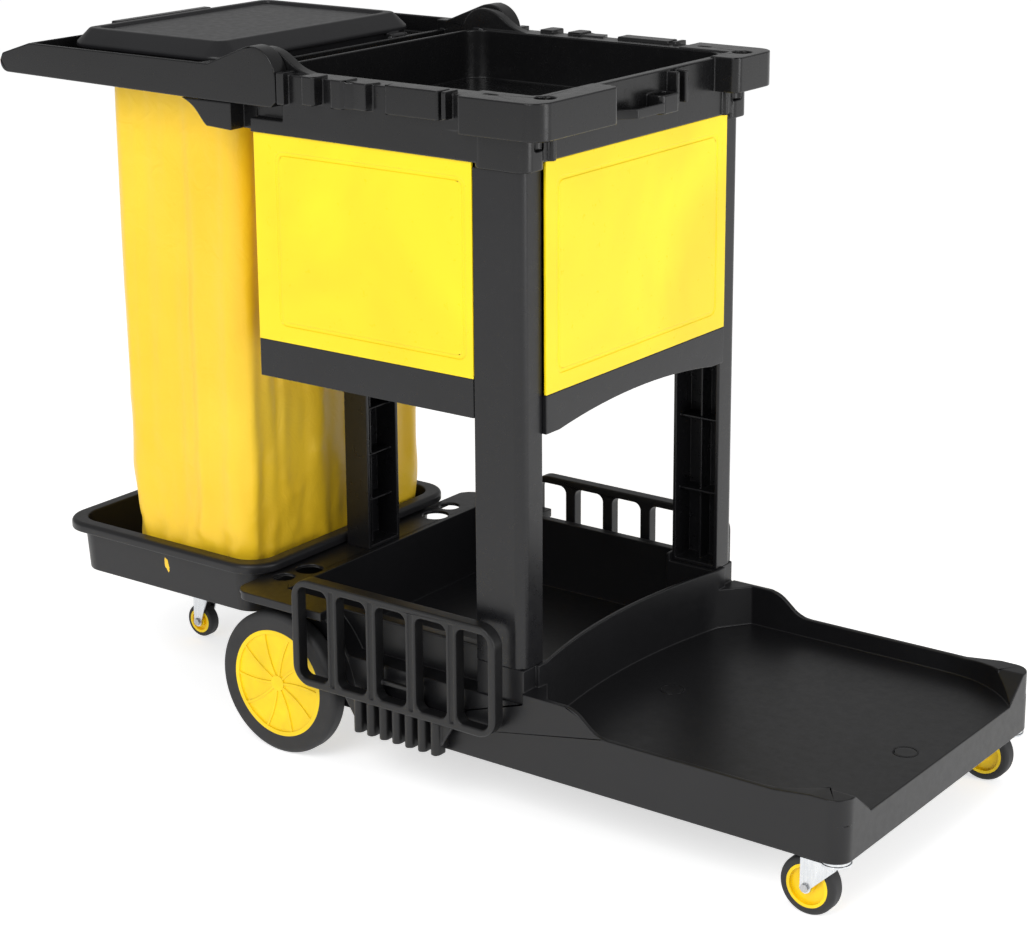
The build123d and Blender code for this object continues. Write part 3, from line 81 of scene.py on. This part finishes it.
def moulded_plastic(name, body, edge_highlight_and_wear, rough, grain_mm, grain_depth_mm, edge_mm, flow_mm=150, shine=0.36):
    """Injection-moulded thermoplastic: tool grain, faint flow clouds and edges painted lighter, as
    painted highlight and as rubbed wear.
    """
    material = bpy.data.materials.new(name)
    material.use_nodes = True
    tree = material.node_tree
    tree.nodes.clear()
    place = add(tree, "ShaderNodeTexCoord").outputs["Object"]
    scuff_mm = 1000 / 90
    flow = add(
        tree,
        "ShaderNodeTexNoise",
        {"Scale": 1000 / flow_mm, "Detail": 3.0, "Distortion": 0.6},
        {"Vector": place},
    )
    grain = add(
        tree,
        "ShaderNodeTexNoise",
        {"Scale": 1000 / grain_mm, "Detail": 2.0, "Roughness": 0.6},
        {"Vector": place},
    )
    scuffs = add(
        tree,
        "ShaderNodeTexNoise",
        {"Scale": 1000 / scuff_mm, "Detail": 5.0, "Roughness": 0.7},
        {"Vector": place},
    )
    soft_edge = add(tree, "ShaderNodeBevel", {"samples": 6, "Radius": edge_mm / 1000})
    true_face = add(tree, "ShaderNodeNewGeometry")
    facing = add(
        tree,
        "ShaderNodeVectorMath",
        {"operation": "DOT_PRODUCT"},
        {0: soft_edge.outputs["Normal"], 1: true_face.outputs["Normal"]},
    )
    # Painted edge highlight, which also stands for rubbed wear: where the rounded-edge normal turns from
    # the true one, the colour is pulled towards the lighter edge colour.
    edge_highlight_and_wear_mask = add(
        tree,
        "ShaderNodeMapRange",
        {"From Min": 1.0, "From Max": 0.80, "To Min": 0.0, "To Max": 0.55},
        {"Value": facing.outputs["Value"]},
    )
    broken_edge_highlight_and_wear = add(
        tree,
        "ShaderNodeMath",
        {"operation": "MULTIPLY"},
        {0: edge_highlight_and_wear_mask.outputs["Result"], 1: scuffs.outputs["Fac"]},
    )
    clouds = add(
        tree,
        "ShaderNodeMapRange",
        {"From Min": 0.3, "From Max": 0.7, "To Min": 0.88, "To Max": 1.12},
        {"Value": flow.outputs["Fac"]},
    )
    shaded = add(
        tree,
        "ShaderNodeVectorMath",
        {"operation": "SCALE", 0: linear(body)[:3]},
        {"Scale": clouds.outputs["Result"]},
    )
    # The lighter edge colour mixed in here is painted highlight as well as wear.
    colour = add(
        tree,
        "ShaderNodeMix",
        {"data_type": "RGBA", 7: linear(edge_highlight_and_wear)},
        {0: broken_edge_highlight_and_wear.outputs["Value"], 6: shaded.outputs["Vector"]},
    )
    gloss = add(
        tree,
        "ShaderNodeMapRange",
        {"From Min": 0.25, "From Max": 0.75, "To Min": rough - 0.05, "To Max": rough + 0.07},
        {"Value": scuffs.outputs["Fac"]},
    )
    relief = add(
        tree,
        "ShaderNodeBump",
        {"Strength": 0.9, "Distance": grain_depth_mm / 1000},
        {"Height": grain.outputs["Fac"], "Normal": soft_edge.outputs["Normal"]},
    )
    shader = add(
        tree,
        "ShaderNodeBsdfPrincipled",
        {"IOR": 1.49, "Specular IOR Level": shine},
        {
            "Base Color": colour.outputs[2],
            "Roughness": gloss.outputs["Result"],
            "Normal": relief.outputs["Normal"],
        },
    )
    add(tree, "ShaderNodeOutputMaterial", {}, {"Surface": shader.outputs["BSDF"]})
    return material


def finish_nodes(material, *names):
    """Gives CAD pieces their finish."""
    for name in names:
        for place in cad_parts[name].material_slots:
            place.material = material


black_moulding = moulded_plastic(
    "black polypropylene, spark-eroded grain",
    body="#131315",
    edge_highlight_and_wear="#424245",
    rough=0.35,
    grain_mm=1.1,
    grain_depth_mm=0.035,
    edge_mm=1.6,
)


def finished_mesh(piece):
    """The piece's mesh as its modifiers leave it, as plain data."""
    graph = bpy.context.evaluated_depsgraph_get()
    return bpy.data.meshes.new_from_object(piece.evaluated_get(graph))


def rounded_moulding(node, body, material, edge_mm):
    """A copy of a moulding with the small rounded edges that its steel tool gives it."""
    same_point = 0.00002
    sharpest_smooth = radians(32)
    overshoot = 0.45 * edge_mm / 1000
    shape = bmesh.new()
    shape.from_mesh(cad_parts[node].data)
    bmesh.ops.remove_doubles(shape, verts=shape.verts, dist=same_point)
    mesh = bpy.data.meshes.new(node + "_moulding")
    shape.to_mesh(mesh)
    surface = BVHTree.FromBMesh(shape)
    shape.free()
    piece = bpy.data.objects.new(node + "_moulding", mesh)
    bpy.context.collection.objects.link(piece)
    mesh.materials.clear()
    mesh.materials.append(material)
    mesh.shade_smooth()
    edge = piece.modifiers.new("edge", "BEVEL")
    edge.width = edge_mm / 1000
    edge.segments = 2
    edge.limit_method = "ANGLE"
    edge.angle_limit = sharpest_smooth
    edge.use_clamp_overlap = False
    edge.miter_outer = "MITER_ARC"
    triangles = piece.modifiers.new("triangles", "TRIANGULATE")
    triangles.keep_custom_normals = False
    flats = piece.modifiers.new("flat faces stay flat", "WEIGHTED_NORMAL")
    flats.mode = "FACE_AREA"
    flats.weight = 90
    finished = finished_mesh(piece)
    piece.modifiers.clear()
    piece.data = finished
    # Where small faces meet, a rounded corner can overshoot: it goes back to the surface.
    for point in finished.vertices:
        nearest, _, _, gap = surface.find_nearest(point.co)
        if gap > overshoot:
            point.co = nearest
    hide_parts(node)
    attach(piece, body)
    return piece


rounded_moulding("base", "cart", black_moulding, edge_mm=1.5)

# ---- columns and rear post -----------------------------------------------
# Two corner columns and the rear post, open at the back with cross ribs.
# The same polypropylene, from a smoother tool, so they shine a little more.
column_moulding = moulded_plastic(
    "black polypropylene, satin column",
    body="#151517",
    edge_highlight_and_wear="#4a4a4e",
    rough=0.29,
    grain_mm=0.9,
    grain_depth_mm=0.02,
    edge_mm=1.4,
)
for name in ("column_right", "column_left", "rear_post", "cabinet_shelf"):
    rounded_moulding(name, "cart", column_moulding, edge_mm=1.2)

# ---- cabinet panels ------------------------------------------------------
# Four yellow panels that slot between the shelf and the top tray, each with
# a shallow raised outline. Acrylonitrile butadiene styrene, thin walled and
# moulded glossy, so it shows broad soft reflections and a faint orange peel.
panel_plastic = moulded_plastic(
    "yellow ABS panel, semi-gloss",
    body="#f7d916",
    edge_highlight_and_wear="#ffe95a",
    rough=0.30,
    grain_mm=2.6,
    grain_depth_mm=0.02,
    edge_mm=1.2,
    flow_mm=260,
)
for name in ("side_panel_right", "side_panel_left", "front_panel", "rear_panel"):
    rounded_moulding(name, "cart", panel_plastic, edge_mm=0.7)

# ---- top tray ------------------------------------------------------------
# The deep top tray, with tool rails down both sides and a holder in front.
# Polypropylene from a polished tool: the darkest, glossiest black part.
tray_plastic = moulded_plastic(
    "black polypropylene, polished tray",
    body="#131314",
    edge_highlight_and_wear="#4c4c50",
    rough=0.24,
    grain_mm=1.4,
    grain_depth_mm=0.012,
    edge_mm=1.8,
)
rounded_moulding("top_tray", "cart", tray_plastic, edge_mm=1.6)

# ---- bag tray ------------------------------------------------------------
# The shallow tray under the bag, with a rolled lip that stiffens it.
# Blow-moulded polyethylene, matte and slightly waxy.
bag_tray_plastic = moulded_plastic(
    "black polyethylene, waxy bag tray",
    body="#1a1a1c",
    edge_highlight_and_wear="#46464a",
    rough=0.38,
    grain_mm=1.6,
    grain_depth_mm=0.03,
    edge_mm=2.5,
)
rounded_moulding("bag_tray", "cart", bag_tray_plastic, edge_mm=1.5)

# ---- bag frame and lid ---------------------------------------------------
# The folding frame with its push bar, from the tray's glossy polypropylene, and
# the lid hinged in it: a satin panel inside a chamfered rim, finer in its grain
# and so a little lighter.
lid_plastic = moulded_plastic(
    "black polypropylene, satin lid",
    body="#1d1d1f",
    edge_highlight_and_wear="#5a5a5e",
    rough=0.36,
    grain_mm=0.8,
    grain_depth_mm=0.015,
    edge_mm=2.0,
)
rounded_moulding("bag_frame", "bag_frame", tray_plastic, edge_mm=1.6)
rounded_moulding("bag_lid", "bag_lid", lid_plastic, edge_mm=1.8)

# ---- side racks ----------------------------------------------------------
# Barred racks that clip to the skirts on finned feet, for cloths and signs.
# Glass-filled polypropylene, matte, its bar edges lightened by rubbing and by painted highlight.
rack_plastic = moulded_plastic(
    "black glass-filled polypropylene rack",
    body="#171718",
    edge_highlight_and_wear="#515155",
    rough=0.38,
    grain_mm=0.9,
    grain_depth_mm=0.02,
    edge_mm=3.2,
)
for name in ("side_rack_right", "side_rack_left"):
    rounded_moulding(name, "cart", rack_plastic, edge_mm=0.9)

# ---- big wheels ----------------------------------------------------------
# Solid rubber tyres on yellow moulded centres with ribbed snap-on covers.
# The rubber is compression moulded: dull, slightly grey, dusted by the floor.
hub_plastic = moulded_plastic(
    "yellow polypropylene wheel centre",
    body="#f5cf02",
    edge_highlight_and_wear="#ffe765",
    rough=0.34,
    grain_mm=1.2,
    grain_depth_mm=0.015,
    edge_mm=0.9,
    flow_mm=60,
)
castor_places = ("front_right", "front_left", "rear")
finish_nodes(
    hub_plastic,
    *[f"wheel_{part}_{hand}" for part in ("hub", "cap") for hand in ("right", "left")],
    *[f"castor_{place}_wheel" for place in castor_places],
)
tyre_rubber = moulded_plastic(
    "grey-black solid rubber tyre",
    body="#2a2a2b",
    edge_highlight_and_wear="#4b4b4c",
    rough=0.62,
    grain_mm=1.5,
    grain_depth_mm=0.05,
    edge_mm=1.5,
    flow_mm=40,
)
finish_nodes(
    tyre_rubber,
    "wheel_tyre_right",
    "wheel_tyre_left",
    *[f"castor_{place}_tyre" for place in castor_places],
)

# ---- castors, axle and pins ----------------------------------------------
# Pressed castor forks on riveted stems, with hexagon-headed axle bolts.
# Sheet steel, electroplated with bright zinc: bluish, with soft drag lines.


def plated_steel(name, bright, dull, rough, drag_mm):
    """Zinc-plated or plain bright steel, with the drawing lines of the sheet or bar."""
    material = bpy.data.materials.new(name)
    material.use_nodes = True
    tree = material.node_tree
    tree.nodes.clear()
    place = add(tree, "ShaderNodeTexCoord").outputs["Object"]
    stretched = add(tree, "ShaderNodeMapping", {"Scale": (1.0, 1.0, 0.12)}, {"Vector": place})
    drag = add(
        tree,
        "ShaderNodeTexNoise",
        {"Scale": 1000 / drag_mm, "Detail": 3.0},
        {"Vector": stretched.outputs["Vector"]},
    )
    spangle_mm = 1000 / 220
    spangle = add(
        tree,
        "ShaderNodeTexVoronoi",
        {"Scale": 1000 / spangle_mm, "feature": "SMOOTH_F1"},
        {"Vector": place},
    )
    tone = add(
        tree,
        "ShaderNodeMix",
        {"data_type": "RGBA", 6: linear(bright), 7: linear(dull)},
        {0: drag.outputs["Fac"]},
    )
    gloss = add(
        tree,
        "ShaderNodeMapRange",
        {"From Min": 0.0, "From Max": 0.8, "To Min": rough, "To Max": rough + 0.16},
        {"Value": spangle.outputs["Distance"]},
    )
    soft_edge = add(tree, "ShaderNodeBevel", {"samples": 6, "Radius": 0.0006})
    relief = add(
        tree,
        "ShaderNodeBump",
        {"Strength": 0.5, "Distance": 0.00003},
        {"Height": drag.outputs["Fac"], "Normal": soft_edge.outputs["Normal"]},
    )
    shader = add(
        tree,
        "ShaderNodeBsdfPrincipled",
        {"Metallic": 1.0},
        {
            "Base Color": tone.outputs[2],
            "Roughness": gloss.outputs["Result"],
            "Normal": relief.outputs["Normal"],
        },
    )
    add(tree, "ShaderNodeOutputMaterial", {}, {"Surface": shader.outputs["BSDF"]})
    return material


zinc_plate = plated_steel("bright zinc-plated steel sheet", "#e4e6e8", "#b9bcc0", 0.22, 3.0)
bar_steel = plated_steel("bright drawn steel bar", "#c9cacc", "#9a9b9d", 0.30, 1.2)
finish_nodes(
    zinc_plate,
    *[f"castor_{place}_{part}" for place in castor_places for part in ("stem", "fork")],
)
finish_nodes(
    bar_steel,
    "wheel_axle",
    "axle_clips",
    "pivot_pins",
    "lid_hinge_pins",
    *[f"castor_{place}_bolt" for place in castor_places],
)

# ---- waste bag -----------------------------------------------------------
# A square waste bag sewn from vinyl-coated cloth, hanging from the collar
# into the bag tray. The coating is smooth and semi-gloss, and the cloth
# drops in soft upright folds that break into creases near the bottom.
bag_low, bag_high = [Vector(corner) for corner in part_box("waste_bag")]
bag_corner = 0.024
bag_half = Vector(((bag_high.x - bag_low.x) / 2, (bag_high.y - bag_low.y) / 2))
bag_x = bag_high.x - bag_half.x
around_count = 112
up_count = 76
floor_gap = 0.001


def bag_outline(share, in_by):
    """A point on the bag's rounded outline, share 0 to 1 round it, drawn in by in_by."""
    half_x, half_y = bag_half.x - in_by, bag_half.y - in_by
    radius = bag_corner
    straight_x, straight_y = 2 * (half_x - radius), 2 * (half_y - radius)
    quarter = pi / 2 * radius
    total = 2 * (straight_x + straight_y) + 4 * quarter
    run = share % 1.0 * total
    corners = ((1, 1), (-1, 1), (-1, -1), (1, -1))
    for index, (sign_x, sign_y) in enumerate(corners):
        length = straight_y if index % 2 == 0 else straight_x
        if run <= length:
            if index == 0:
                return Vector((half_x, -half_y + radius + run)), Vector((1, 0))
            if index == 1:
                return Vector((half_x - radius - run, half_y)), Vector((0, 1))
            if index == 2:
                return Vector((-half_x, half_y - radius - run)), Vector((-1, 0))
            return Vector((-half_x + radius + run, -half_y)), Vector((0, -1))
        run -= length
        if run <= quarter:
            turn = index * pi / 2 + run / radius
            centre = Vector((sign_x * (half_x - radius), sign_y * (half_y - radius)))
            outward = Vector((cos(turn), sin(turn)))
            return centre + radius * outward, outward
        run -= quarter
    return Vector((half_x, -half_y + radius)), Vector((1, 0))


def bag_fold(share, height):
    """How far the cloth stands out or in at one point: upright pleats, slack and creases."""
    around = share * 2 * pi
    ring = Vector((cos(around), sin(around), 0))
    sway = noise.noise(3 * ring + Vector((0, 0, 1.4 * height)))
    pleats = noise.noise(11 * ring + Vector((5, 0, 0.7 * height + 1.5 * sway)))
    ridge = (1 - min(1.0, 3.2 * abs(noise.noise(6 * ring + Vector((0, 4, 0.9 * height + sway)))))) ** 2
    leaning = noise.noise(Vector((40 * share + 4.0 * height, 5.0 * height - 14 * share, 7.0)))
    crease = (1 - min(1.0, 3.5 * abs(leaning))) ** 2
    slack = (1 - height) ** 2.5
    return 0.0045 * sway + 0.0045 * pleats + 0.0035 * ridge + 0.0075 * slack * (crease - 0.4)


def waste_bag_mesh():
    """The open bag as one sheet of quads, before it hangs: four sides and a flat bottom."""
    mesh = bmesh.new()
    uv = mesh.loops.layers.uv.new("cloth")
    rows = []
    height = bag_high.z - bag_low.z - 2 * floor_gap
    foot_z = bag_low.z + floor_gap
    for row in range(up_count + 1):
        up = row / up_count
        ring = []
        for column in range(around_count):
            share = column / around_count
            # The cloth draws in a little more at the foot, and the two hems stay flat.
            point, outward = bag_outline(share, 0.003 + 0.002 * (1 - up) ** 4)
            hold = min(1.0, 8 * (1 - up)) * min(1.0, 12 * up)
            point = point + outward * bag_fold(share, up) * hold
            ring.append(mesh.verts.new((bag_x + point.x, point.y, foot_z + up * height)))
        rows.append(ring)
    for row in range(up_count):
        for column in range(around_count):
            after = (column + 1) % around_count
            face = mesh.faces.new(
                (rows[row][column], rows[row][after], rows[row + 1][after], rows[row + 1][column])
            )
            for loop, (across, up) in zip(face.loops, ((0, 0), (1, 0), (1, 1), (0, 1))):
                loop[uv].uv = ((column + across) / around_count, (row + up) / up_count)
    outer = rows[0]
    ring_count = 8
    for step in range(1, ring_count):
        shrink = 1 - step / ring_count
        ring = [
            mesh.verts.new((bag_x + (edge.co.x - bag_x) * shrink, edge.co.y * shrink, foot_z))
            for edge in rows[0]
        ]
        for column in range(around_count):
            after = (column + 1) % around_count
            mesh.faces.new((ring[column], ring[after], outer[after], outer[column]))
        outer = ring
    pole = mesh.verts.new((bag_x, 0, foot_z))
    for column in range(around_count):
        mesh.faces.new((pole, outer[(column + 1) % around_count], outer[column]))
    bmesh.ops.recalc_face_normals(mesh, faces=mesh.faces)
    result = bpy.data.meshes.new("waste_bag_sheet")
    mesh.to_mesh(result)
    mesh.free()
    return result


def let_bag_hang(bag):
    """Drops the slack cloth from the collar and keeps the folds that it finds."""
    hem = 0.004
    last_step = 26
    furthest = 0.011
    start = [point.co.copy() for point in bag.data.vertices]
    held = bag.vertex_groups.new(name="held")
    hemmed = [
        index for index, place in enumerate(start) if not bag_low.z + hem < place.z < bag_high.z - hem
    ]
    held.add(hemmed, 1.0, "REPLACE")
    hang = bag.modifiers.new("hang", "CLOTH")
    hang.settings.quality = 7
    hang.settings.mass = 0.35
    hang.settings.tension_stiffness = 20
    hang.settings.compression_stiffness = 20
    hang.settings.shear_stiffness = 12
    hang.settings.bending_stiffness = 1.6
    hang.settings.shrink_min = -0.03
    hang.settings.vertex_group_mass = "held"
    hang.collision_settings.use_collision = False
    hang.point_cache.frame_end = last_step
    for step in range(1, last_step + 1):
        bpy.context.scene.frame_set(step)
    places = [point.co.copy() for point in finished_mesh(bag).vertices]
    bag.modifiers.clear()
    bag.vertex_groups.clear()
    bpy.context.scene.frame_set(1)
    for point, was, now in zip(bag.data.vertices, start, places):
        move = now - was
        if move.length > furthest:
            move.length = furthest
        point.co = was + move


def coated_cloth():
    """Vinyl-coated polyester: the weave barely prints through a smooth yellow coat."""
    material = bpy.data.materials.new("yellow vinyl-coated bag cloth")
    material.use_nodes = True
    tree = material.node_tree
    tree.nodes.clear()
    place = add(tree, "ShaderNodeTexCoord").outputs["Object"]
    clouds = add(tree, "ShaderNodeTexNoise", {"Scale": 6.0, "Detail": 4.0}, {"Vector": place})
    # The 0.5 mm threads are drawn 2 mm apart, as coarse as they need to be to show.
    threads = 250.0
    weave_up = add(
        tree,
        "ShaderNodeTexWave",
        {"Scale": threads, "bands_direction": "Z"},
        {"Vector": place},
    )
    weave_across = add(
        tree,
        "ShaderNodeTexWave",
        {"Scale": threads, "bands_direction": "DIAGONAL"},
        {"Vector": place},
    )
    weave = add(
        tree,
        "ShaderNodeMath",
        {"operation": "MULTIPLY"},
        {0: weave_up.outputs["Fac"], 1: weave_across.outputs["Fac"]},
    )
    colour = add(
        tree,
        "ShaderNodeMix",
        {"data_type": "RGBA", 6: linear("#f7bf00"), 7: linear("#fdd832")},
        {0: clouds.outputs["Fac"]},
    )
    crumple = add(
        tree,
        "ShaderNodeTexNoise",
        {"Scale": 26.0, "Detail": 5.0, "Distortion": 1.2},
        {"Vector": place},
    )
    soft = add(
        tree,
        "ShaderNodeBump",
        {"Strength": 0.6, "Distance": 0.0025},
        {"Height": crumple.outputs["Fac"]},
    )
    relief = add(
        tree,
        "ShaderNodeBump",
        {"Strength": 0.35, "Distance": 0.00012},
        {"Height": weave.outputs["Value"], "Normal": soft.outputs["Normal"]},
    )
    gloss = add(
        tree,
        "ShaderNodeMapRange",
        {"To Min": 0.34, "To Max": 0.48},
        {"Value": clouds.outputs["Fac"]},
    )
    shader = add(
        tree,
        "ShaderNodeBsdfPrincipled",
        {"IOR": 1.5, "Sheen Weight": 0.05},
        {
            "Base Color": colour.outputs[2],
            "Roughness": gloss.outputs["Result"],
            "Normal": relief.outputs["Normal"],
        },
    )
    add(tree, "ShaderNodeOutputMaterial", {}, {"Surface": shader.outputs["BSDF"]})
    return material


waste_bag = bpy.data.objects.new("waste_bag_sheet", waste_bag_mesh())
bpy.context.collection.objects.link(waste_bag)
waste_bag.data.materials.append(coated_cloth())
let_bag_hang(waste_bag)
finer = waste_bag.modifiers.new("finer", "SUBSURF")
finer.levels = finer.render_levels = 1
cloth_thickness = waste_bag.modifiers.new("cloth thickness", "SOLIDIFY")
cloth_thickness.thickness = 0.0008
cloth_thickness.offset = -1
made_bag = finished_mesh(waste_bag)
waste_bag.modifiers.clear()
waste_bag.data = made_bag
made_bag.shade_smooth()
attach(waste_bag, "cart")
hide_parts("waste_bag")
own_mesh(waste_bag)

# ---- floor, light and camera ---------------------------------------------
# A wide sheet of white paper in a white room, with a large soft key from the
# right of the cart, a softer box ahead of it and a low fill under the cabinet.
floor_mesh = bpy.data.meshes.new("studio_floor")
floor_mesh.from_pydata([(-30, -30, 0), (30, -30, 0), (30, 30, 0), (-30, 30, 0)], [], [(0, 1, 2, 3)])
floor = bpy.data.objects.new("studio_floor", floor_mesh)
bpy.context.collection.objects.link(floor)
paper = bpy.data.materials.new("white studio paper")
paper.use_nodes = True
paper_shader = paper.node_tree.nodes["Principled BSDF"]
paper_grain = add(paper.node_tree, "ShaderNodeTexNoise", {"Scale": 40.0, "Detail": 4.0})
paper_tone = add(
    paper.node_tree,
    "ShaderNodeMix",
    {"data_type": "RGBA", 6: linear("#f6f6f6"), 7: linear("#fbfbfb")},
    {0: paper_grain.outputs["Fac"]},
)
paper.node_tree.links.new(paper_tone.outputs[2], paper_shader.inputs["Base Color"])
paper_shader.inputs["Roughness"].default_value = 0.9
paper_shader.inputs["Emission Color"].default_value = (1.0, 1.0, 1.0, 1.0)
paper_shader.inputs["Emission Strength"].default_value = 0.6
floor.data.materials.append(paper)

world = bpy.data.worlds.new("white room")
world.use_nodes = True
world.node_tree.nodes["Background"].inputs["Color"].default_value = (1.0, 1.0, 1.0, 1.0)
world.node_tree.nodes["Background"].inputs["Strength"].default_value = 0.42
bpy.context.scene.world = world


def soft_box(name, place, aim, size, watts):
    """A square soft box that points at one place."""
    lamp = bpy.data.lights.new(name, "AREA")
    lamp.size = size
    lamp.energy = watts
    holder = bpy.data.objects.new(name, lamp)
    holder.location = place
    holder.rotation_euler = (Vector(aim) - Vector(place)).to_track_quat("-Z", "Y").to_euler()
    bpy.context.collection.objects.link(holder)


soft_box("key soft box", (0.6, -3.6, 3.0), (0.0, 0.0, 0.5), 2.4, 90)
soft_box("front soft box", (4.2, -0.6, 2.2), (0.0, 0.0, 0.5), 2.0, 45)
soft_box("low front fill", (3.2, 0.5, 0.8), (-0.4, 0.0, 0.45), 1.2, 16)

camera_data = bpy.data.cameras.new("camera")
camera_data.lens = 87.49
camera_data.sensor_width = 36.0
camera_data.shift_y = -0.1
camera = bpy.data.objects.new("camera", camera_data)
camera.location = (1.925, -2.598, 1.413)
camera.rotation_euler = (
    Matrix.Rotation(radians(36.31), 3, "Z")
    @ Matrix.Rotation(radians(90 - 15.33), 3, "X")
    @ Matrix.Rotation(radians(-0.33), 3, "Z")
).to_euler()
bpy.context.collection.objects.link(camera)
bpy.context.scene.camera = camera
bpy.context.scene.view_settings.view_transform = "Standard"

bpy.context.view_layer.update()
